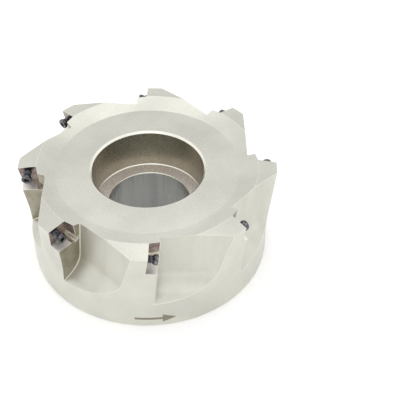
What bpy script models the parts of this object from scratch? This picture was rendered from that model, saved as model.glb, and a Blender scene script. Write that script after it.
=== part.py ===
"""Indexable face mill, 6 in class: a steel cutter body and its eight insert screws.

The part's frame: the origin is the centre of the back face, which stands on the
ground, +Z runs up to the cutting face, and tooth 0 points along +X.
Each tooth has a frame of its own: x runs out along the tooth's radius, y runs the
way the cutter turns, and z is the part's Z.
"""

from math import cos, pi, radians, sin, tan

import bmesh
import bpy
from mathutils import Matrix, Vector

MM = 0.001

# cutter body
TEETH = 8
SEGMENTS = 96
BACK_RADIUS = 71.6 * MM
BACK_CHAMFER = 0.8 * MM
FLARE_START = 21.0 * MM
FLARE_END = 37.0 * MM
FLARE_STEPS = 4
TIP_RADIUS = 75.4 * MM
TIP_HEIGHT = 59.2 * MM
RIDGE_RADIUS = 64.6 * MM
RIDGE_HEIGHT = 60.9 * MM
DISC_RADIUS = 53.9 * MM
DISC_HEIGHT = 57.6 * MM

# arbor bore, counterbore for the lock screw, drive keyway
BORE_RADIUS = 24.3 * MM
BORE_CHAMFER = 1.0 * MM
COUNTERBORE_RADIUS = 32.7 * MM
COUNTERBORE_DEPTH = 25.96 * MM
RIM_CHAMFER = 1.15 * MM
KEYWAY_WIDTH = 19.05 * MM
KEYWAY_DEPTH = 11.1 * MM
KEYWAY_REACH = 47.0 * MM
KEYWAY_STEPS = 8

# chip gullet, in the frame of the tooth in front of it
WALL_OFFSET = 5.45 * MM
WALL_AXIAL_SLOPE = 0.095
WALL_RADIAL_SLOPE = -0.078
WALL_REFERENCE = (75.0 * MM, 59.0 * MM)
GULLET_END = 62.0 * MM
ROOT_FLOOR = (58.85 * MM, 0.025)
FAR_FLOOR = (60.05 * MM, 0.075)
FLOOR_TURN = 33.5 * MM
RUNOUT_RADIUS = 14.0 * MM
RUNOUT_ANGLE = radians(60)
RUNOUT_STEPS = 5
ROOT_FILLET = 0.8 * MM
FILLET_STEPS = 3
CLEAR_TOP = 66.0 * MM
CLEAR_RADIUS = 86.0 * MM

# insert pocket, in the tooth's frame
SEAT_OFFSET = -0.1 * MM
SEAT_AXIAL_SLOPE = 0.15
SEAT_RADIAL_SLOPE = -0.045
POCKET_SIDE = 64.7 * MM
POCKET_SIDE_LEAN = 0.16
POCKET_FLOOR = 47.4 * MM
POCKET_FLOOR_LEAN = -0.14
POCKET_DRAFT = -0.2
POCKET_MOUTH = 12.0 * MM
RELIEF_RADIUS = 2.8 * MM
RELIEF_CENTRE = (64.3 * MM, 50.7 * MM)
RELIEF_STEPS = 20

# insert screw and its tapped hole
SCREW_RADIAL = 70.1 * MM
SCREW_HEIGHT = 55.0 * MM
HEAD_RADIUS = 3.0 * MM
HEAD_TOP = 5.7 * MM
HEAD_RIM = 1.7 * MM
HEAD_CONE = 1.3 * MM
SHANK_RADIUS = 2.25 * MM
SHANK_BELOW_SEAT = 7.0 * MM
HOLE_CLEARANCE = 0.35 * MM
HOLE_DEPTH = 9.0 * MM
SOCKET_RADIUS = 1.62 * MM
SOCKET_WAVE = 0.13
SOCKET_DEPTH = 1.5 * MM
SCREW_SEGMENTS = 24


def clear_scene():
    for item in list(bpy.data.objects):
        bpy.data.objects.remove(item, do_unlink=True)


def make_material(name, colour, roughness, metallic):
    material = bpy.data.materials.new(name)
    material.use_nodes = True
    shader = material.node_tree.nodes["Principled BSDF"]
    shader.inputs["Base Color"].default_value = (*colour, 1.0)
    shader.inputs["Roughness"].default_value = roughness
    shader.inputs["Metallic"].default_value = metallic
    return material


def add_object(name, mesh_data, material=None):
    mesh_data.normal_update()
    mesh = bpy.data.meshes.new(name)
    mesh_data.to_mesh(mesh)
    mesh_data.free()
    item = bpy.data.objects.new(name, mesh)
    bpy.context.scene.collection.objects.link(item)
    if material:
        mesh.materials.append(material)
    return item


def turned(profile, segments):
    """A solid of revolution about Z from a closed outline of (radius, height) points."""
    mesh = bmesh.new()
    corners = [mesh.verts.new((radius, 0.0, height)) for radius, height in profile]
    edges = [mesh.edges.new((a, b)) for a, b in zip(corners, corners[1:] + corners[:1])]
    bmesh.ops.spin(mesh, geom=corners + edges, cent=(0, 0, 0), axis=(0, 0, 1),
                   angle=2 * pi, steps=segments, use_duplicate=False)
    bmesh.ops.remove_doubles(mesh, verts=mesh.verts, dist=0.000001)
    bmesh.ops.recalc_face_normals(mesh, faces=mesh.faces)
    return mesh


def hide_cutter(cutter):
    cutter.hide_render = True
    cutter.display_type = "WIRE"


def cut(target, cutter):
    """Takes the cutter's shape away from the target."""
    hide_cutter(cutter)
    modifier = target.modifiers.new("Cut " + cutter.name, "BOOLEAN")
    modifier.operation = "DIFFERENCE"
    modifier.solver = "EXACT"
    modifier.object = cutter


def wall_y(x, z):
    """The rake wall's plane: it leans with height and turns with radius."""
    lean = WALL_AXIAL_SLOPE * (z - WALL_REFERENCE[1])
    return WALL_OFFSET + lean + WALL_RADIAL_SLOPE * (x - WALL_REFERENCE[0])


def seat_y(x, z):
    """The insert seat's plane, which carries the insert's axial and radial rake."""
    lean = SEAT_AXIAL_SLOPE * (z - TIP_HEIGHT)
    return SEAT_OFFSET + lean + SEAT_RADIAL_SLOPE * (x - TIP_RADIUS)


def floor_profile(start, slope):
    """The gullet floor seen along y: a steep plane, a curved run-out and a ramp.

    Each entry is a point (x, z) and the floor's normal there.
    """
    first = (start - slope * (CLEAR_TOP - TIP_HEIGHT), CLEAR_TOP)
    profile = [(first, (1.0, 0.0))]
    turn_x = start + slope * (TIP_HEIGHT - FLOOR_TURN)
    for step in range(RUNOUT_STEPS + 1):
        angle = slope + (RUNOUT_ANGLE - slope) * step / RUNOUT_STEPS
        x = turn_x + RUNOUT_RADIUS * (cos(slope) - cos(angle))
        z = FLOOR_TURN - RUNOUT_RADIUS * (sin(angle) - sin(slope))
        profile.append(((x, z), (cos(angle), sin(angle))))
    (x, z), normal = profile[-1]
    drop = (CLEAR_RADIUS - x) / tan(RUNOUT_ANGLE)
    profile.append(((CLEAR_RADIUS, z - drop), normal))
    return profile


def gullet_cutter(name):
    """The chip space in front of tooth 0, with a fillet where floor meets rake wall."""
    mesh = bmesh.new()
    rows = []
    near = floor_profile(*ROOT_FLOOR)
    far = floor_profile(*FAR_FLOOR)
    for ((near_x, near_z), (normal_x, normal_z)), ((far_x, far_z), _) in zip(near, far):
        row = []
        for step in range(FILLET_STEPS + 1):
            angle = 0.5 * pi * step / FILLET_STEPS
            rise = ROOT_FILLET * (1 - sin(angle))
            x = near_x + normal_x * rise
            z = near_z + normal_z * rise
            y = wall_y(x, z) + ROOT_FILLET * (1 - cos(angle))
            row.append(mesh.verts.new((x, y, z)))
        row.append(mesh.verts.new((far_x, GULLET_END, far_z)))
        rows.append(row)
    for upper, lower in zip(rows, rows[1:]):
        for column in range(len(upper) - 1):
            quad = (upper[column], upper[column + 1], lower[column + 1], lower[column])
            mesh.faces.new(quad)
    outer_near = mesh.verts.new((CLEAR_RADIUS, wall_y(CLEAR_RADIUS, CLEAR_TOP), CLEAR_TOP))
    outer_far = mesh.verts.new((CLEAR_RADIUS, GULLET_END, CLEAR_TOP))
    mesh.faces.new([row[0] for row in rows] + [outer_near])
    mesh.faces.new([row[-1] for row in rows] + [outer_far])
    mesh.faces.new(rows[0] + [outer_far, outer_near])
    mesh.faces.new(rows[-1] + [outer_far, outer_near])
    bmesh.ops.recalc_face_normals(mesh, faces=mesh.faces)
    bmesh.ops.triangulate(mesh, faces=mesh.faces)
    return add_object(name, mesh)


def pocket_side_x(y, z):
    """The pocket's side wall: it follows the insert's lead angle and its draft."""
    return POCKET_SIDE + POCKET_DRAFT * y + POCKET_SIDE_LEAN * (z - RIDGE_HEIGHT)


def pocket_floor_z(x, y):
    return POCKET_FLOOR + POCKET_DRAFT * y + POCKET_FLOOR_LEAN * (x - SCREW_RADIAL)


def pocket_corner(x, y, z):
    """Settles a corner on its planes: a value of None is found from the other two."""
    found = [x or POCKET_SIDE, y or 0.0, z or POCKET_FLOOR]
    for _ in range(20):
        if y is None:
            found[1] = seat_y(found[0], found[2])
        if z is None:
            found[2] = pocket_floor_z(found[0], found[1])
        if x is None:
            found[0] = pocket_side_x(found[1], found[2])
    return found


def pocket_cutter(name):
    """The insert's seat, side wall and floor, open to the rim, the face and the gullet."""
    mesh = bmesh.new()
    rings = []
    for height in (None, CLEAR_TOP):
        places = ((None, None), (CLEAR_RADIUS, None), (CLEAR_RADIUS, POCKET_MOUTH),
                  (None, POCKET_MOUTH))
        rings.append([mesh.verts.new(pocket_corner(x, y, height)) for x, y in places])
    bottom, top = rings
    mesh.faces.new(bottom)
    mesh.faces.new(top)
    for index in range(4):
        after = (index + 1) % 4
        mesh.faces.new((bottom[index], bottom[after], top[after], top[index]))
    bmesh.ops.recalc_face_normals(mesh, faces=mesh.faces)
    bmesh.ops.triangulate(mesh, faces=mesh.faces)
    return add_object(name, mesh)


def seat_frame():
    """A frame on the seat at the screw hole: its Z is the seat's outward normal."""
    normal = Vector((-SEAT_RADIAL_SLOPE, 1.0, -SEAT_AXIAL_SLOPE)).normalized()
    across = Vector((0, 0, 1)).cross(normal).normalized()
    up = normal.cross(across)
    turn = Matrix((across, up, normal)).transposed().to_4x4()
    centre = (SCREW_RADIAL, seat_y(SCREW_RADIAL, SCREW_HEIGHT), SCREW_HEIGHT)
    return Matrix.Translation(centre) @ turn


def tooth_turn(index):
    return Matrix.Rotation(2 * pi * index / TEETH, 4, "Z")


def relief_cutter(name):
    """The round corner relief where the pocket's side wall meets its floor."""
    mesh = bmesh.new()
    bmesh.ops.create_cone(mesh, cap_ends=True, segments=RELIEF_STEPS, radius1=RELIEF_RADIUS,
                          radius2=RELIEF_RADIUS, depth=POCKET_MOUTH)
    mesh.transform(Matrix.Translation((0, 0, 0.5 * POCKET_MOUTH)))
    item = add_object(name, mesh)
    x, z = RELIEF_CENTRE
    along = Vector((POCKET_DRAFT, 1.0, POCKET_DRAFT))
    turn = along.to_track_quat("Z", "Y").to_matrix().to_4x4()
    item.matrix_world = Matrix.Translation((x, seat_y(x, z), z)) @ turn
    return item


def hole_cutter(name):
    mesh = bmesh.new()
    radius = SHANK_RADIUS + HOLE_CLEARANCE
    bmesh.ops.create_cone(mesh, cap_ends=True, segments=SCREW_SEGMENTS, radius1=radius,
                          radius2=radius, depth=2 * HOLE_DEPTH)
    item = add_object(name, mesh)
    item.matrix_world = seat_frame()
    return item


def keyway_cutter(name):
    """One drive slot across the back face, rounded at its two ends."""
    mesh = bmesh.new()
    half = 0.5 * KEYWAY_WIDTH
    corners = []
    for side in (1, -1):
        centre = side * (KEYWAY_REACH - half)
        for step in range(KEYWAY_STEPS + 1):
            angle = pi * step / KEYWAY_STEPS
            x = centre + side * half * sin(angle)
            y = -side * half * cos(angle)
            corners.append(mesh.verts.new((x, y, -KEYWAY_DEPTH)))
    face = mesh.faces.new(corners)
    raised = bmesh.ops.extrude_face_region(mesh, geom=[face])
    lifted = [v for v in raised["geom"] if isinstance(v, bmesh.types.BMVert)]
    bmesh.ops.translate(mesh, verts=lifted, vec=(0, 0, 2 * KEYWAY_DEPTH))
    bmesh.ops.recalc_face_normals(mesh, faces=mesh.faces)
    return add_object(name, mesh)


def flare_points():
    """The side wall from the tip's cone down to the back cylinder, blended by an arc."""
    slope = (TIP_RADIUS - BACK_RADIUS) / (TIP_HEIGHT - 0.5 * (FLARE_START + FLARE_END))
    points = []
    for step in range(FLARE_STEPS + 1):
        rise = (FLARE_END - FLARE_START) * (FLARE_STEPS - step) / FLARE_STEPS
        radius = BACK_RADIUS + 0.5 * slope * rise ** 2 / (FLARE_END - FLARE_START)
        points.append((radius, FLARE_START + rise))
    return points


def cutter_body(steel):
    profile = [
        (BORE_RADIUS + BORE_CHAMFER, 0.0),
        (BORE_RADIUS, BORE_CHAMFER),
        (BORE_RADIUS, DISC_HEIGHT - COUNTERBORE_DEPTH),
        (COUNTERBORE_RADIUS, DISC_HEIGHT - COUNTERBORE_DEPTH),
        (COUNTERBORE_RADIUS, DISC_HEIGHT - RIM_CHAMFER),
        (COUNTERBORE_RADIUS + RIM_CHAMFER, DISC_HEIGHT),
        (DISC_RADIUS, DISC_HEIGHT),
        (RIDGE_RADIUS, RIDGE_HEIGHT),
        (TIP_RADIUS, TIP_HEIGHT),
        *flare_points(),
        (BACK_RADIUS, BACK_CHAMFER),
        (BACK_RADIUS - BACK_CHAMFER, 0.0),
    ]
    body = add_object("cutter_body", turned(profile, SEGMENTS), steel)
    makers = (("gullet", gullet_cutter), ("pocket", pocket_cutter),
              ("relief", relief_cutter), ("hole", hole_cutter))
    for index in range(TEETH):
        for label, maker in makers:
            cutter = maker(f"{label}_{index + 1}")
            cutter.matrix_world = tooth_turn(index) @ cutter.matrix_world
            cut(body, cutter)
    cut(body, keyway_cutter("keyway"))
    return body


def screw_mesh():
    """A six-lobe socket screw: local Z runs out of the seat, which is at Z = 0."""
    cone_bottom = HEAD_TOP - HEAD_RIM - HEAD_CONE
    profile = [
        (SHANK_RADIUS - 0.4 * MM, -SHANK_BELOW_SEAT),
        (SHANK_RADIUS, -SHANK_BELOW_SEAT + 0.4 * MM),
        (SHANK_RADIUS, cone_bottom),
        (HEAD_RADIUS, HEAD_TOP - HEAD_RIM),
        (HEAD_RADIUS, HEAD_TOP),
    ]
    mesh = bmesh.new()
    rings = []
    steps = [2 * pi * index / SCREW_SEGMENTS for index in range(SCREW_SEGMENTS)]
    for radius, height in profile:
        rings.append([mesh.verts.new((radius * cos(a), radius * sin(a), height)) for a in steps])
    for height in (HEAD_TOP, HEAD_TOP - SOCKET_DEPTH):
        ring = []
        for a in steps:
            radius = SOCKET_RADIUS * (1 - SOCKET_WAVE + SOCKET_WAVE * cos(6 * a))
            ring.append(mesh.verts.new((radius * cos(a), radius * sin(a), height)))
        rings.append(ring)
    for lower, upper in zip(rings, rings[1:]):
        for index in range(SCREW_SEGMENTS):
            after = (index + 1) % SCREW_SEGMENTS
            mesh.faces.new((lower[index], lower[after], upper[after], upper[index]))
    mesh.faces.new(rings[0])
    mesh.faces.new(rings[-1])
    bmesh.ops.recalc_face_normals(mesh, faces=mesh.faces)
    return mesh


def insert_screws(black_steel):
    first = add_object("insert_screw_1", screw_mesh(), black_steel)
    first.matrix_world = seat_frame()
    for index in range(1, TEETH):
        screw = bpy.data.objects.new(f"insert_screw_{index + 1}", first.data)
        bpy.context.scene.collection.objects.link(screw)
        screw.matrix_world = tooth_turn(index) @ seat_frame()


def main():
    clear_scene()
    steel = make_material("nickel_plated_steel", (0.66, 0.66, 0.61), 0.32, 1.0)
    black_steel = make_material("black_oxide_screw_steel", (0.03, 0.03, 0.04), 0.35, 1.0)
    body = cutter_body(steel)
    insert_screws(black_steel)
    body.data.shade_smooth()
    body.data.set_sharp_from_angle(angle=radians(25))


main()
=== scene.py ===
# A face mill: a nickel-plated steel cutter body and its eight insert screws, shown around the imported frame.
import math

import bpy
from mathutils import Matrix, Vector


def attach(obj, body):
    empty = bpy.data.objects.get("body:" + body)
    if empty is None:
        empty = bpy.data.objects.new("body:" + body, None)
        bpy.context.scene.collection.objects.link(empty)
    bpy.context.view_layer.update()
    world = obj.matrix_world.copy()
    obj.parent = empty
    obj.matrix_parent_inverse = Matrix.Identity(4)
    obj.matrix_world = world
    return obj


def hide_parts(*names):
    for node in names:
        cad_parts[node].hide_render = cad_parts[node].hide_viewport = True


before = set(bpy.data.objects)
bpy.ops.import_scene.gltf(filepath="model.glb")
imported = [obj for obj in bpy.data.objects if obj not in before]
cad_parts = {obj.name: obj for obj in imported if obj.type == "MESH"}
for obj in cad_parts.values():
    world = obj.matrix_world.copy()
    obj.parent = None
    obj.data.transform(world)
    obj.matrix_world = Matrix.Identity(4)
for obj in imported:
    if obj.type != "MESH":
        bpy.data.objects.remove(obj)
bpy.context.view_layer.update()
mm = 0.001
toothCount = 8
toothAngle = 2 * math.pi / toothCount


# small helpers

def startFresh():
    if bpy.context.object and bpy.context.object.mode != "OBJECT":
        bpy.ops.object.mode_set(mode="OBJECT")
    bpy.ops.object.select_all(action="DESELECT")


def makeActive(piece):
    startFresh()
    piece.select_set(True)
    bpy.context.view_layer.objects.active = piece


def settle(piece):
    # its place and turn go into the mesh, so the object ends at the origin
    makeActive(piece)
    bpy.ops.object.transform_apply(location=True, rotation=True, scale=True)


def applyModifier(piece, kind, **settings):
    makeActive(piece)
    modifier = piece.modifiers.new(kind.title(), kind)
    for key, value in settings.items():
        setattr(modifier, key, value)
    bpy.ops.object.modifier_apply(modifier=modifier.name)


def joinSolids(piece, other, operation):
    applyModifier(piece, "BOOLEAN", object=other, operation=operation, solver="EXACT")
    mesh = other.data
    bpy.data.objects.remove(other)
    bpy.data.meshes.remove(mesh)


def turnedCopy(piece, name, step):
    copy = piece.copy()
    copy.data = piece.data.copy()
    copy.name = copy.data.name = name
    bpy.context.scene.collection.objects.link(copy)
    copy.data.transform(Matrix.Rotation(step * toothAngle, 4, "Z"))
    return copy


def turnRings(name, profile, vertices):
    # a closed outline of (radius, height), drawn out ring by ring around Z
    startFresh()
    radius, height = profile[0]
    bpy.ops.mesh.primitive_circle_add(vertices=vertices, radius=radius, location=(0, 0, height))
    piece = bpy.context.object
    piece.name = piece.data.name = name
    settle(piece)
    bpy.ops.object.mode_set(mode="EDIT")
    bpy.ops.mesh.select_all(action="SELECT")
    for nextRadius, nextHeight in profile[1:] + profile[:1]:
        rise = (0, 0, nextHeight - height)
        bpy.ops.mesh.extrude_region_move(TRANSFORM_OT_translate={"value": rise})
        grow = nextRadius / radius
        bpy.ops.transform.resize(value=(grow, grow, 1), center_override=(0, 0, nextHeight))
        radius, height = nextRadius, nextHeight
    bpy.ops.mesh.select_all(action="SELECT")
    bpy.ops.mesh.remove_doubles(threshold=0.001 * mm)
    bpy.ops.mesh.normals_make_consistent(inside=False)
    bpy.ops.object.mode_set(mode="OBJECT")
    return piece


def pickEdges(piece, wanted):
    # selects the edges whose two ends pass the test, in edge mode
    makeActive(piece)
    bpy.ops.object.mode_set(mode="EDIT")
    bpy.ops.mesh.select_mode(type="EDGE")
    bpy.ops.mesh.select_all(action="DESELECT")
    bpy.ops.object.mode_set(mode="OBJECT")
    points = piece.data.vertices
    for edge in piece.data.edges:
        edge.select = all(wanted(points[index].co) for index in edge.vertices)
    bpy.ops.object.mode_set(mode="EDIT")


# materials

def colour(hexValue):
    parts = [int(hexValue[i:i + 2], 16) / 255 for i in (1, 3, 5)]
    linear = [p / 12.92 if p <= 0.04045 else ((p + 0.055) / 1.055) ** 2.4 for p in parts]
    return (*linear, 1.0)


def newMaterial(name, baseColour, metallic, roughness):
    material = bpy.data.materials.new(name)
    material.use_nodes = True
    shader = material.node_tree.nodes["Principled BSDF"]
    shader.inputs["Base Color"].default_value = colour(baseColour)
    shader.inputs["Metallic"].default_value = metallic
    shader.inputs["Roughness"].default_value = roughness
    return material, shader


def addNode(material, kind, settings=None, links=None):
    node = material.node_tree.nodes.new("ShaderNode" + kind)
    for key, value in (settings or {}).items():
        if isinstance(key, str) and hasattr(node, key):
            setattr(node, key, value)
        else:
            node.inputs[key].default_value = value
    for key, source in (links or {}).items():
        material.node_tree.links.new(source, node.inputs[key])
    return node


# what a noise texture mostly stays between, spread over the whole change of tone or polish
noiseReach = {"cloud": (0.35, 0.65), "grain": (0.3, 0.7)}


def waveScale(spacing):
    # the wave texture draws one line every 0.314 / scale metres
    return 2 * math.pi / 20 / spacing


def arrowMask(material, place, arrow):
    # 1 inside a plain arrow that runs round the axis, 0 outside it
    parts = addNode(material, "SeparateXYZ", None, {"Vector": place}).outputs
    values = {"x": parts["X"], "y": parts["Y"], "z": parts["Z"]}
    tip = (math.radians(arrow["angle"]) * arrow["radius"] + arrow["length"] / 2) * mm
    # each row makes a named value from two earlier ones or fixed sizes
    for name, operation, first, second in [
            ("angle", "ARCTAN2", "y", "x"),
            ("along", "MULTIPLY", "angle", arrow["radius"] * mm),
            ("toTip", "SUBTRACT", tip, "along"),
            ("taper", "MULTIPLY", "toTip", arrow["headHeight"] / 2 / arrow["headLength"]),
            ("inHead", "LESS_THAN", "toTip", arrow["headLength"] * mm),
            ("inShaft", "LESS_THAN", "toTip", arrow["length"] * mm),
            ("head", "MULTIPLY", "taper", "inHead"),
            ("narrow", "MINIMUM", "taper", arrow["shaftHeight"] / 2 * mm),
            ("shaft", "MULTIPLY", "narrow", "inShaft"),
            ("half", "MAXIMUM", "head", "shaft"),
            ("rise", "SUBTRACT", "z", arrow["height"] * mm),
            ("fromLine", "ABSOLUTE", "rise", 0.0),
            ("mask", "LESS_THAN", "fromLine", "half")]:
        given = {0: first, 1: second}
        fixed = {key: value for key, value in given.items() if not isinstance(value, str)}
        linked = {key: values[value] for key, value in given.items() if isinstance(value, str)}
        node = addNode(material, "Math", {"operation": operation, **fixed}, linked)
        values[name] = node.outputs["Value"]
    return values["mask"]


def steelFinish(name, look):
    # one plated or bare steel finish: tool lines, cloudy tone and uneven polish
    material, shader = newMaterial(name, look["tone"], 1.0, look["roughness"])
    place = addNode(material, "TexCoord").outputs["Object"]
    stretch = addNode(material, "Mapping", {"Scale": look.get("stretch", (1, 1, 1))},
                      {"Vector": place}).outputs["Vector"]
    cloud = addNode(material, "TexNoise", {"Scale": 1 / (look["cloudSize"] * mm), "Detail": 4.0},
                    {"Vector": stretch}).outputs["Fac"]
    tone = addNode(material, "Mix", {"data_type": "RGBA", 6: colour(look["tone"]),
                                     7: colour(look["otherTone"])})
    low, high = noiseReach["cloud"]
    spread = addNode(material, "MapRange", {"From Min": low, "From Max": high}, {"Value": cloud})
    material.node_tree.links.new(spread.outputs["Result"], tone.inputs["Factor"])
    if "arrow" in look:
        mask = arrowMask(material, place, look["arrow"])
        tone = addNode(material, "Mix", {"data_type": "RGBA", 7: colour(look["arrow"]["tone"])},
                       {"Factor": mask, 6: tone.outputs[2]})
    material.node_tree.links.new(tone.outputs[2], shader.inputs["Base Color"])
    lines = addNode(material, "TexWave", {
        "wave_type": look["lines"][0], look["lines"][0].lower() + "_direction": look["lines"][1],
        "Scale": waveScale(look["lineSpacing"] * mm), "Distortion": look["lineWander"],
        "Detail": 2.0, "Detail Scale": 0.4}, {"Vector": place}).outputs["Fac"]
    grain = addNode(material, "TexNoise", {"Scale": 1 / (look["grain"] * mm), "Detail": 3.0},
                    {"Vector": stretch}).outputs["Fac"]
    low, high = noiseReach["grain"]
    rough = addNode(material, "MapRange", {
        "From Min": low, "From Max": high, "To Min": look["roughness"] - look["polishSpread"],
        "To Max": look["roughness"] + look["polishSpread"]}, {"Value": grain})
    material.node_tree.links.new(rough.outputs["Result"], shader.inputs["Roughness"])
    relief = addNode(material, "Bump", {"Distance": look["lineDepth"] * mm}, {"Height": lines})
    pits = addNode(material, "Bump", {"Distance": look["grainDepth"] * mm},
                   {"Height": grain, "Normal": relief.outputs["Normal"]})
    material.node_tree.links.new(pits.outputs["Normal"], shader.inputs["Normal"])
    return material


# Nickel plate over turned and milled steel keeps the tool lines under a pale, faintly warm, satin skin.
# Feed lines of about 0.2 mm are too fine to show, so they are drawn 0.8 to 1.3 mm apart. Sizes are in mm.
steelLooks = {
    # faced on a lathe: fine rings and the brightest, most even sheen
    "nickelPlatedTurnedFace": dict(
        tone="#cccbc2", otherTone="#d6d5cb", roughness=0.25, cloudSize=22, lines=("RINGS", "Z"),
        lineSpacing=0.9, lineWander=0.0, lineDepth=0.0012, grain=0.8, grainDepth=0.0008, polishSpread=0.04),
    # turned on the outside: fine level lines and a softer, cloudier sheen
    "nickelPlatedTurnedRim": dict(
        tone="#d8d7cd", otherTone="#cccbc2", roughness=0.4, cloudSize=25, lines=("BANDS", "Z"),
        lineSpacing=1.0, lineWander=0.0, lineDepth=0.0012, grain=0.8, grainDepth=0.0008, polishSpread=0.04,
        # the lasered arrow shows which way the cutter turns
        arrow=dict(tone="#8f897b", radius=71.6, angle=-88, height=6.6, length=24, shaftHeight=1.8,
                   headLength=8, headHeight=6.4)),
    # milled with the side of an end mill: a satin surface, streaked along the tooth
    "nickelPlatedMilledGullet": dict(
        tone="#d1d0c5", otherTone="#c6c5bb", roughness=0.42, cloudSize=14, lines=("BANDS", "Z"),
        lineSpacing=1.2, lineWander=0.6, lineDepth=0.002, grain=1.0, grainDepth=0.001, polishSpread=0.05,
        stretch=(1, 1, 0.25)),
    # the wall under each insert, milled more coarsely; its darker, warmer tone is painted shade from the dim
    # surroundings it reflects
    "nickelPlatedRakeWallPaintedShade": dict(
        tone="#a9a394", otherTone="#979080", roughness=0.32, cloudSize=6, lines=("BANDS", "Z"),
        lineSpacing=0.9, lineWander=1.2, lineDepth=0.002, grain=0.8, grainDepth=0.0015, polishSpread=0.05),
    # the end mill's corner leaves a smooth fillet; its paler tone is a painted highlight that shows it as a
    # thin line
    "nickelPlatedRootPaintedHighlight": dict(
        tone="#dedcd0", otherTone="#d4d2c6", roughness=0.3, cloudSize=14, lines=("BANDS", "Z"),
        lineSpacing=1.2, lineWander=0.6, lineDepth=0.001, grain=1.0, grainDepth=0.0005, polishSpread=0.03),
    # ground for the insert after plating, mottled; its dark brownish tone is painted shade in the pocket
    "groundPocketSeatPaintedShade": dict(
        tone="#7a6a68", otherTone="#a2958e", roughness=0.26, cloudSize=4, lines=("BANDS", "Z"),
        lineSpacing=0.9, lineWander=1.5, lineDepth=0.003, grain=0.5, grainDepth=0.002, polishSpread=0.06),
    # the same grinding on the floor, half matt; its near-white tone is painted light from above
    "groundPocketFloorPaintedLight": dict(
        tone="#f8f6f0", otherTone="#e9e6df", roughness=0.5, cloudSize=4, lines=("BANDS", "X"),
        lineSpacing=0.9, lineWander=1.0, lineDepth=0.001, grain=0.5, grainDepth=0.001, polishSpread=0.04),
    # a drilled corner: smooth; its bright, slightly golden tone down the hollow is a painted highlight
    "drilledCornerReliefPaintedHighlight": dict(
        tone="#dad4c6", otherTone="#b7ae9f", roughness=0.36, cloudSize=3.3, lines=("BANDS", "Z"),
        lineSpacing=0.9, lineWander=1.0, lineDepth=0.002, grain=0.5, grainDepth=0.001, polishSpread=0.05),
    # bored inside: dim and warm, a painted shade where little light comes
    "nickelPlatedBoredWallPaintedShade": dict(
        tone="#aca592", otherTone="#9f9985", roughness=0.28, cloudSize=17, lines=("BANDS", "Z"),
        lineSpacing=0.9, lineWander=0.0, lineDepth=0.0012, grain=0.6, grainDepth=0.0003, polishSpread=0.03),
    # faced inside the counterbore: matt, with a fine mottle of painted sparkle; its near-white tone is
    # painted light on this upward face
    "nickelPlatedLedgePaintedLight": dict(
        tone="#fbf6f4", otherTone="#d0c9c9", roughness=0.5, cloudSize=0.75, lines=("RINGS", "Z"),
        lineSpacing=0.9, lineWander=0.0, lineDepth=0.001, grain=0.5, grainDepth=0.002, polishSpread=0.05),
    # honed to size without plating: cooler grey, with long soft streaks along the axis that are painted
    # reflections
    "honedBorePaintedStreaks": dict(
        tone="#c6c6c0", otherTone="#abadad", roughness=0.24, cloudSize=17, lines=("BANDS", "Z"),
        lineSpacing=0.8, lineWander=0.2, lineDepth=0.001, grain=1.6, grainDepth=0.001, polishSpread=0.06,
        stretch=(1, 1, 0.04)),
    # turned chamfers: a clean ring whose bright tone is a painted highlight
    "polishedChamferPaintedHighlight": dict(
        tone="#efede3", otherTone="#e6e4da", roughness=0.28, cloudSize=11, lines=("BANDS", "Z"),
        lineSpacing=1.3, lineWander=1.0, lineDepth=0.0005, grain=0.6, grainDepth=0.0005, polishSpread=0.04),
    # edges broken by hand: a thin pale line, a painted highlight along each edge
    "brokenEdgePaintedHighlight": dict(
        tone="#e8e6dc", otherTone="#dcdad0", roughness=0.3, cloudSize=11, lines=("BANDS", "Z"),
        lineSpacing=1.3, lineWander=1.0, lineDepth=0.0005, grain=0.6, grainDepth=0.0005, polishSpread=0.04),
}
finishes = {name: steelFinish(name, look) for name, look in steelLooks.items()}
finishOrder = list(finishes)


def finishIndex(name):
    return finishOrder.index(name)


def wearFinishes(piece, chooseFinish):
    # every finish sits in the piece's slots, and each face wears the one chosen for it
    for name in finishOrder:
        piece.data.materials.append(finishes[name])
    for face in piece.data.polygons:
        face.material_index = finishIndex(chooseFinish(face))


print("materials made:", len(finishes))


# the cutter body, sizes in mm

bodyShape = {
    "verticesAround": 192,
    "backRadius": 71.6, "backChamfer": 0.8,
    "flareStart": 21.0, "flareEnd": 37.0, "flareSteps": 8,
    "tip": (75.4, 59.2), "ridge": (64.6, 60.9), "disc": (53.9, 57.6),
    "boreRadius": 24.3, "boreChamfer": 1.0,
    "counterboreRadius": 32.7, "ledgeHeight": 31.64, "rimChamfer": 1.15,
    "ledgeFillet": 0.45, "ledgeBreak": 0.4,
    "edgeBreak": 0.15, "edgeBreakSteps": 2, "edgeAngle": 14, "smoothAngle": 40,
    "mergeWithin": 0.2, "flatWithin": 0.2,
}
gulletShape = {
    "wallPoint": (75.0, 5.45, 59.0), "wallNormal": (0.078, 1.0, -0.095),
    "farSide": 62.0, "nearFloor": (58.85, 0.025), "farFloor": (60.05, 0.075),
    "floorTurn": 33.5, "runoutRadius": 14.0, "runoutAngle": 60, "runoutSteps": 10,
    "rootFillet": 0.5, "filletSteps": 3, "onWall": 0.02, "clearTop": 66.0, "clearRadius": 86.0,
}
pocketShape = {
    "seatPoint": (75.4, -0.1, 59.2), "seatNormal": (0.045, 1.0, -0.15),
    "sidePoint": (64.7, 0.0, 60.9), "sideNormal": (1.0, 0.2, -0.16),
    "floorPoint": (70.1, 0.0, 47.4), "floorNormal": (0.14, 0.2, 1.0),
    "mouth": 12.0, "reliefRadius": 2.8, "reliefCentre": (64.3, 50.7), "reliefLine": (-0.2, 1.0, -0.2),
    "verticesAround": 40,
}
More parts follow.
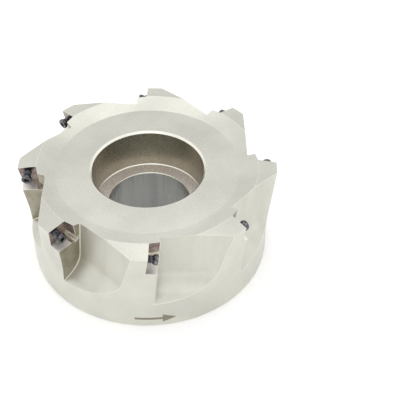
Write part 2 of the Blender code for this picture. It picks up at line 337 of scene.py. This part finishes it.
screwShape = {
    "place": (70.1, 55.0), "headRadius": 3.0, "headTop": 5.7, "headRim": 1.7, "headCone": 1.3,
    "rimBreak": 0.22, "shankRadius": 2.25, "shankBelowSeat": 7.0, "threadPitch": 0.75,
    "threadDepth": 0.38, "threadStart": 0.3, "threadFlat": (0.4, 0.6), "threadLeft": 1.5,
    "neckLength": 0.2, "neckFillet": 0.3, "tipBreak": 0.2,
    "socketRadius": 1.62, "socketWave": 0.13, "socketLobes": 6, "socketDepth": 1.5, "socketTaper": 0.96,
    "socketLead": (0.25, 0.2), "socketPoint": (0.25, 0.3), "core": 0.2, "lobeMargin": 0.05,
    "holeClearance": 0.35, "holeDepth": 9.0, "verticesAround": 48, "smoothAngle": 30,
}
slotShape = {"width": 19.05, "depth": 11.1, "reach": 47.0, "verticesAround": 64}


def meetingPoint(planes):
    rows = Matrix([normal for point, normal in planes])
    return rows.inverted() @ Vector([Vector(point).dot(Vector(normal)) for point, normal in planes])


def blockBetween(name, planesAt):
    # a block whose eight corners each stand where three planes meet
    startFresh()
    bpy.ops.mesh.primitive_cube_add(size=2)
    block = bpy.context.object
    block.name = block.data.name = name
    for corner in block.data.vertices:
        outer, far, upper = (value > 0 for value in corner.co)
        corner.co = meetingPoint(planesAt(outer, far, upper)) * mm
    return block


def gulletPlanes(outer, far, upper):
    shape = gulletShape
    start, slope = shape["farFloor"] if far else shape["nearFloor"]
    turn = math.radians(shape["runoutAngle"])
    turnX = start + slope * (bodyShape["tip"][1] - shape["floorTurn"])
    reach = shape["runoutRadius"] * math.tan((turn - slope) / 2)
    corner = (turnX + reach * math.sin(slope), 0, shape["floorTurn"] - reach * math.cos(slope))
    wall = (shape["wallPoint"], shape["wallNormal"])
    side = ((0, shape["farSide"], 0), (0, 1, 0)) if far else wall
    across = ((shape["clearRadius"], 0, 0), (1, 0, 0)) if outer else (corner, (1, 0, slope))
    along = ((0, 0, shape["clearTop"]), (0, 0, 1)) if upper else \
        (corner, (math.cos(turn), 0, math.sin(turn)))
    return across, side, along


def makeGulletCutter():
    shape = gulletShape
    block = blockBetween("gulletCutter", gulletPlanes)
    # the rake wall wears the darker painted shade, the rest the plain gullet finish
    wearFinishes(block, lambda face: "nickelPlatedRakeWallPaintedShade" if face.normal.y < -0.9
                 else "nickelPlatedMilledGullet")
    clear, top = (shape["clearRadius"] - 1) * mm, (shape["clearTop"] - 1) * mm
    turn = math.radians(shape["runoutAngle"])
    # the run-out: the block's inner lower edge rounded by the end mill
    pickEdges(block, lambda p: p.x < clear and p.z < top)
    bpy.ops.mesh.bevel(offset_type="OFFSET", offset=shape["runoutRadius"] * math.tan(turn / 2) * mm,
                       segments=shape["runoutSteps"], profile=0.5, affect="EDGES")
    bpy.ops.object.mode_set(mode="OBJECT")
    # the fillet where the floor meets the rake wall: all of the wall's outline but its outer top corner
    normal = Vector(shape["wallNormal"])
    offset = normal.dot(Vector(shape["wallPoint"])) * mm
    pickEdges(block, lambda p: abs(normal.dot(p) - offset) < shape["onWall"] * mm
              and not (p.x > clear and p.z > top))
    # the fillet's faces wear the paler painted highlight
    bpy.ops.mesh.bevel(offset_type="OFFSET", offset=shape["rootFillet"] * mm, profile=0.5, affect="EDGES",
                       segments=shape["filletSteps"], material=finishIndex("nickelPlatedRootPaintedHighlight"))
    bpy.ops.object.mode_set(mode="OBJECT")
    return block


def pocketPlanes(outer, far, upper):
    shape = pocketShape
    side = ((0, shape["mouth"], 0), (0, 1, 0)) if far else (shape["seatPoint"], shape["seatNormal"])
    across = ((gulletShape["clearRadius"], 0, 0), (1, 0, 0)) if outer else \
        (shape["sidePoint"], shape["sideNormal"])
    along = ((0, 0, gulletShape["clearTop"]), (0, 0, 1)) if upper else \
        (shape["floorPoint"], shape["floorNormal"])
    return across, side, along


def seatY(x, z):
    point, normal = Vector(pocketShape["seatPoint"]), Vector(pocketShape["seatNormal"])
    return point.y - (normal.x * (x - point.x) + normal.z * (z - point.z)) / normal.y


def seatFrame():
    # its Z stands out of the insert seat at the screw hole
    normal = Vector(pocketShape["seatNormal"]).normalized()
    across = Vector((0, 0, 1)).cross(normal).normalized()
    turn = Matrix((across, normal.cross(across), normal)).transposed().to_4x4()
    x, z = screwShape["place"]
    return Matrix.Translation(Vector((x, seatY(x, z), z)) * mm) @ turn


def addRod(name, radius, length, start, along, vertices):
    startFresh()
    bpy.ops.mesh.primitive_cylinder_add(vertices=vertices, radius=radius * mm, depth=length * mm,
                                        location=(0, 0, length * mm / 2))
    rod = bpy.context.object
    rod.name = rod.data.name = name
    settle(rod)
    turn = Vector(along).to_track_quat("Z", "Y").to_matrix().to_4x4()
    rod.data.transform(Matrix.Translation(Vector(start) * mm) @ turn)
    return rod


def markSharpEdges(piece):
    # outward edges past the limit get a bevel weight, inward ones a sharp crease, but not in a root fillet
    root = finishIndex("nickelPlatedRootPaintedHighlight")
    limit = math.radians(bodyShape["edgeAngle"])
    sides = {}
    for face in piece.data.polygons:
        for pair in face.edge_keys:
            sides.setdefault(pair, []).append(face)
    weights = piece.data.attributes.new("bevel_weight_edge", "FLOAT", "EDGE")
    for edge in piece.data.edges:
        first, second = sides[edge.key]
        outward = (second.center - first.center).dot(first.normal) < 0
        sharp = first.normal.angle(second.normal, 0) > limit
        weights.data[edge.index].value = float(outward and sharp)
        inRoot = first.material_index == root or second.material_index == root
        edge.use_edge_sharp = sharp and not outward and not inRoot


def makeToothCutter():
    # gullet, insert pocket, corner relief and tapped hole joined in one cutter
    tooth = makeGulletCutter()
    pocket = blockBetween("pocketCutter", pocketPlanes)
    x, z = pocketShape["reliefCentre"]
    relief = addRod("reliefCutter", pocketShape["reliefRadius"], pocketShape["mouth"],
                    (x, seatY(x, z), z), pocketShape["reliefLine"], pocketShape["verticesAround"])
    normal = Vector(pocketShape["seatNormal"]).normalized()
    x, z = screwShape["place"]
    start = Vector((x, seatY(x, z), z)) - normal * screwShape["holeDepth"]
    hole = addRod("holeCutter", screwShape["shankRadius"] + screwShape["holeClearance"],
                  2 * screwShape["holeDepth"], start, normal, pocketShape["verticesAround"])
    # the pocket's upward floor wears the painted light, its other faces and the screw hole the painted shade
    wearFinishes(pocket, lambda face: "groundPocketFloorPaintedLight" if face.normal.z < -0.7 else "groundPocketSeatPaintedShade")
    # the corner relief wears the bright painted highlight
    wearFinishes(relief, lambda face: "drilledCornerReliefPaintedHighlight")
    wearFinishes(hole, lambda face: "groundPocketSeatPaintedShade")
    for part in (pocket, relief, hole):
        joinSolids(tooth, part, "UNION")
    return tooth


def makeSlotCutter():
    half = slotShape["width"] / 2
    slot = addRod("slotCutter", half, 2 * slotShape["depth"], (0, 0, -slotShape["depth"]), (0, 0, 1),
                  slotShape["verticesAround"])
    wearFinishes(slot, lambda face: "nickelPlatedMilledGullet")
    for side in (1, -1):
        makeActive(slot)
        for part in (slot.data.polygons, slot.data.edges):
            for item in part:
                item.select = False
        for vertex in slot.data.vertices:
            vertex.select = vertex.co.x * side > 0.001 * mm
        bpy.ops.object.mode_set(mode="EDIT")
        bpy.ops.mesh.select_mode(type="VERT")
        bpy.ops.transform.translate(value=(side * (slotShape["reach"] - half) * mm, 0, 0))
        bpy.ops.object.mode_set(mode="OBJECT")
    return slot


def bodyProfile():
    shape = bodyShape
    tipRadius, tipHeight = shape["tip"]
    middle = (shape["flareStart"] + shape["flareEnd"]) / 2
    slope = (tipRadius - shape["backRadius"]) / (tipHeight - middle)
    blend = shape["flareEnd"] - shape["flareStart"]
    flare = []
    for step in range(shape["flareSteps"], -1, -1):
        rise = blend * step / shape["flareSteps"]
        flare.append((shape["backRadius"] + slope * rise ** 2 / blend / 2, shape["flareStart"] + rise))
    ledge, top = shape["ledgeHeight"], shape["disc"][1]
    bore, counterbore, rim = shape["boreRadius"], shape["counterboreRadius"], shape["rimChamfer"]
    edge, fillet = shape["ledgeBreak"], shape["ledgeFillet"]
    profile = [
        (bore + shape["boreChamfer"], 0), (bore, shape["boreChamfer"]), (bore, ledge - edge),
        (bore + edge, ledge), (counterbore - fillet, ledge), (counterbore, ledge + fillet),
        (counterbore, top - rim), (counterbore + rim, top),
        shape["disc"], shape["ridge"], shape["tip"], *flare,
        (shape["backRadius"], shape["backChamfer"]), (shape["backRadius"] - shape["backChamfer"], 0),
    ]
    return [(radius * mm, height * mm) for radius, height in profile]


def turnedFinish(face):
    # which finish a face of the turned blank wears, by its place
    radius, height = face.center.xy.length / mm, face.center.z / mm
    tilt, close = abs(face.normal.z), 0.1
    isChamfer = 0.6 < tilt < 0.8 and radius < bodyShape["disc"][0]
    # chamfers wear the bright painted highlight
    if isChamfer:
        return "polishedChamferPaintedHighlight"
    if height > bodyShape["disc"][1] - close and radius > bodyShape["counterboreRadius"]:
        return "nickelPlatedTurnedFace"
    if radius > bodyShape["backRadius"] - 1 or height < close:
        return "nickelPlatedTurnedRim"
    # level faces in the counterbore wear the near-white painted light
    isLevel = tilt > 0.9
    if isLevel:
        return "nickelPlatedLedgePaintedLight"
    # the bore wears the painted reflection streaks
    # the counterbore wall wears the dim painted shade
    return "honedBorePaintedStreaks" if radius < bodyShape["boreRadius"] + close else "nickelPlatedBoredWallPaintedShade"


def makeBody():
    body = turnRings("cutter_body_steel", bodyProfile(), bodyShape["verticesAround"])
    wearFinishes(body, turnedFinish)
    tooth = makeToothCutter()
    for step in range(toothCount):
        joinSolids(body, turnedCopy(tooth, f"toothCutter{step + 1}", step), "DIFFERENCE")
    bpy.data.objects.remove(tooth)
    joinSolids(body, makeSlotCutter(), "DIFFERENCE")
    # short edges left by the cuts are closed before every sharp edge is broken
    makeActive(body)
    bpy.ops.object.mode_set(mode="EDIT")
    bpy.ops.mesh.select_all(action="SELECT")
    bpy.ops.mesh.remove_doubles(threshold=bodyShape["mergeWithin"] * mm)
    bpy.ops.mesh.dissolve_limited(angle_limit=math.radians(bodyShape["flatWithin"]), delimit={"MATERIAL"})
    bpy.ops.object.mode_set(mode="OBJECT")
    markSharpEdges(body)
    # the bevels wear the pale painted edge highlight
    applyModifier(body, "BEVEL", width=bodyShape["edgeBreak"] * mm, segments=bodyShape["edgeBreakSteps"],
                  limit_method="WEIGHT", use_clamp_overlap=False, loop_slide=False,
                  material=finishIndex("brokenEdgePaintedHighlight"))
    makeActive(body)
    bpy.ops.object.shade_smooth_by_angle(angle=math.radians(bodyShape["smoothAngle"]))
    applyModifier(body, "WEIGHTED_NORMAL", keep_sharp=True)
    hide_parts("cutter_body")
    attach(body, "cutter")
    print("body made:", len(body.data.polygons), "faces")
    return body


body = makeBody()


# the insert screws

blackLook = {"tone": "#515157", "worn": "#97989c", "roughness": 0.3, "cloudSize": 1.1,
             "wearFrom": (0.45, 0.75), "pitDepth": 0.004}


def makeBlackOxide():
    # hot-blackened steel: nearly black, half matt, rubbed greyer here and there
    material, shader = newMaterial("blackOxideScrewSteel", blackLook["tone"], 1.0, blackLook["roughness"])
    place = addNode(material, "TexCoord").outputs["Object"]
    cloud = addNode(material, "TexNoise", {"Scale": 1 / (blackLook["cloudSize"] * mm), "Detail": 5.0},
                    {"Vector": place}).outputs["Fac"]
    low, high = blackLook["wearFrom"]
    wear = addNode(material, "MapRange", {"From Min": low, "From Max": high}, {"Value": cloud})
    tone = addNode(material, "Mix", {"data_type": "RGBA", 6: colour(blackLook["tone"]),
                                     7: colour(blackLook["worn"])}, {"Factor": wear.outputs["Result"]})
    material.node_tree.links.new(tone.outputs[2], shader.inputs["Base Color"])
    pits = addNode(material, "Bump", {"Distance": blackLook["pitDepth"] * mm}, {"Height": cloud})
    material.node_tree.links.new(pits.outputs["Normal"], shader.inputs["Normal"])
    return material


def screwProfile():
    shape = screwShape
    head, shank, end = shape["headRadius"], shape["shankRadius"], -shape["shankBelowSeat"]
    root = shank - shape["threadDepth"]
    pitch, top, rim = shape["threadPitch"], shape["headTop"], shape["rimBreak"]
    coneBottom = top - shape["headRim"] - shape["headCone"]
    socketFloor = top - shape["socketDepth"]
    points = [(root - shape["tipBreak"], end)]
    height = end + shape["threadStart"]
    low, high = shape["threadFlat"]
    # ridges with flat tops stand for the thread
    while height < coneBottom - shape["threadLeft"] * pitch:
        points += [(root, height), (shank, height + pitch * low), (shank, height + pitch * high)]
        height += pitch
    lead, leadDepth = shape["socketLead"]
    point, pointDepth = shape["socketPoint"]
    points += [
        (root, height), (root, coneBottom - shape["neckLength"]), (root + shape["neckFillet"], coneBottom),
        (head, top - shape["headRim"]), (head, top - rim), (head - rim, top),
        (shape["socketRadius"] + lead, top), (shape["socketRadius"], top - leadDepth),
        (shape["socketRadius"] * shape["socketTaper"], socketFloor),
        (point, socketFloor - pointDepth), (shape["core"], end),
    ]
    return [(radius * mm, z * mm) for radius, z in points]


def makeScrews(material):
    shape = screwShape
    screw = turnRings("insert_screw_detail_1", screwProfile(), shape["verticesAround"])
    margin = shape["lobeMargin"]
    socketFloor = (shape["headTop"] - shape["socketDepth"] - margin) * mm
    inner, outer = 2 * shape["socketPoint"][0] * mm, (shape["socketRadius"] + margin) * mm
    # the socket's rings are pressed into lobes
    for vertex in screw.data.vertices:
        if vertex.co.z > socketFloor and inner < vertex.co.xy.length < outer:
            turn = shape["socketLobes"] * math.atan2(vertex.co.y, vertex.co.x)
            vertex.co.xy = vertex.co.xy * (1 - shape["socketWave"] * (1 - math.cos(turn)))
    screw.data.materials.append(material)
    makeActive(screw)
    bpy.ops.object.shade_smooth_by_angle(angle=math.radians(shape["smoothAngle"]))
    screw.data.transform(seatFrame())
    for step in range(toothCount):
        piece = screw if step == 0 else turnedCopy(screw, f"insert_screw_detail_{step + 1}", step)
        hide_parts(f"insert_screw_{step + 1}")
        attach(piece, f"insert_screw_{step + 1}")
    print("screws made:", toothCount)


makeScrews(makeBlackOxide())


# floor, light and camera

floorLook = {
    "size": 8.0, "divisions": 8, "tone": "#fdfdfd", "roughness": 0.55, "polishSpread": 0.05,
    "cloudSize": 333, "glow": 0.09,
}
lightLook = {
    "tone": "#ffffff", "level": 1.13,
    # sides of the tent that are dimmer: direction, where the dimming starts and is full, what stays
    "dimSides": [((0.0, 0.78, 0.62), 0.84, 0.97, 0.82), ((0.5, -0.86, 0.05), 0.75, 0.97, 0.64)],
    "lamps": {
        "overhead": dict(place=(0.0, 0.69, 1.19), aim=(0, 0, 0.03), size=0.45, power=0.42),
        "frontKey": dict(place=(0.0, -1.35, 1.15), aim=(0, 0, 0.03), size=1.4, power=1.5),
        "zenith": dict(place=(0.0, -0.33, 1.34), aim=(0, 0, 0.03), size=0.5, power=0.2),
    },
}
cameraLook = {
    "place": (0.01117, -0.37981, 0.39180), "turn": (45.9449, -0.7281, -2.9252),
    "lens": 74.90, "sensor": 36, "nearest": 0.01,
}


def makeStage():
    startFresh()
    bpy.ops.mesh.primitive_grid_add(x_subdivisions=floorLook["divisions"],
                                    y_subdivisions=floorLook["divisions"], size=floorLook["size"])
    floor = bpy.context.object
    floor.name = floor.data.name = "floor"
    material, shader = newMaterial("paleStudioTable", floorLook["tone"], 0.0, floorLook["roughness"])
    place = addNode(material, "TexCoord").outputs["Object"]
    cloud = addNode(material, "TexNoise", {"Scale": 1 / (floorLook["cloudSize"] * mm), "Detail": 2.0},
                    {"Vector": place}).outputs["Fac"]
    soft = addNode(material, "MapRange", {
        "To Min": floorLook["roughness"] - floorLook["polishSpread"],
        "To Max": floorLook["roughness"] + floorLook["polishSpread"]}, {"Value": cloud})
    material.node_tree.links.new(soft.outputs["Result"], shader.inputs["Roughness"])
    shader.inputs["Emission Color"].default_value = colour(floorLook["tone"])
    shader.inputs["Emission Strength"].default_value = floorLook["glow"]
    floor.data.materials.append(material)


def makeLights():
    # a white light tent, dimmer where it is open towards the viewer and behind the table
    world = bpy.data.worlds.new("lightTent")
    world.use_nodes = True
    shell = world.node_tree.nodes["Background"]
    shell.inputs["Color"].default_value = colour(lightLook["tone"])
    direction = addNode(world, "TexCoord").outputs["Generated"]
    level = addNode(world, "Value").outputs["Value"]
    level.default_value = lightLook["level"]
    for side, start, full, kept in lightLook["dimSides"]:
        facing = addNode(world, "VectorMath", {"operation": "DOT_PRODUCT", 1: side}, {0: direction})
        share = addNode(world, "MapRange", {"interpolation_type": "SMOOTHSTEP", "From Min": start,
                                            "From Max": full, "To Min": 1.0, "To Max": kept},
                        {"Value": facing.outputs["Value"]})
        level = addNode(world, "Math", {"operation": "MULTIPLY"},
                        {0: level, 1: share.outputs["Result"]}).outputs["Value"]
    world.node_tree.links.new(level, shell.inputs["Strength"])
    bpy.context.scene.world = world
    for name, settings in lightLook["lamps"].items():
        light = bpy.data.lights.new(name, "AREA")
        light.size = settings["size"]
        light.energy = settings["power"]
        lamp = bpy.data.objects.new(name, light)
        bpy.context.scene.collection.objects.link(lamp)
        lamp.location = settings["place"]
        aim = Vector(settings["aim"]) - Vector(settings["place"])
        lamp.rotation_euler = aim.to_track_quat("-Z", "Y").to_euler()


def makeCamera():
    camera = bpy.data.cameras.new("camera")
    camera.lens = cameraLook["lens"]
    camera.sensor_width = cameraLook["sensor"]
    camera.clip_start = cameraLook["nearest"]
    holder = bpy.data.objects.new("camera", camera)
    bpy.context.scene.collection.objects.link(holder)
    holder.location = cameraLook["place"]
    holder.rotation_euler = [math.radians(value) for value in cameraLook["turn"]]
    bpy.context.scene.camera = holder


makeStage()
makeLights()
makeCamera()
bpy.context.scene.view_settings.view_transform = "Standard"
print("stage, lights and camera ready")
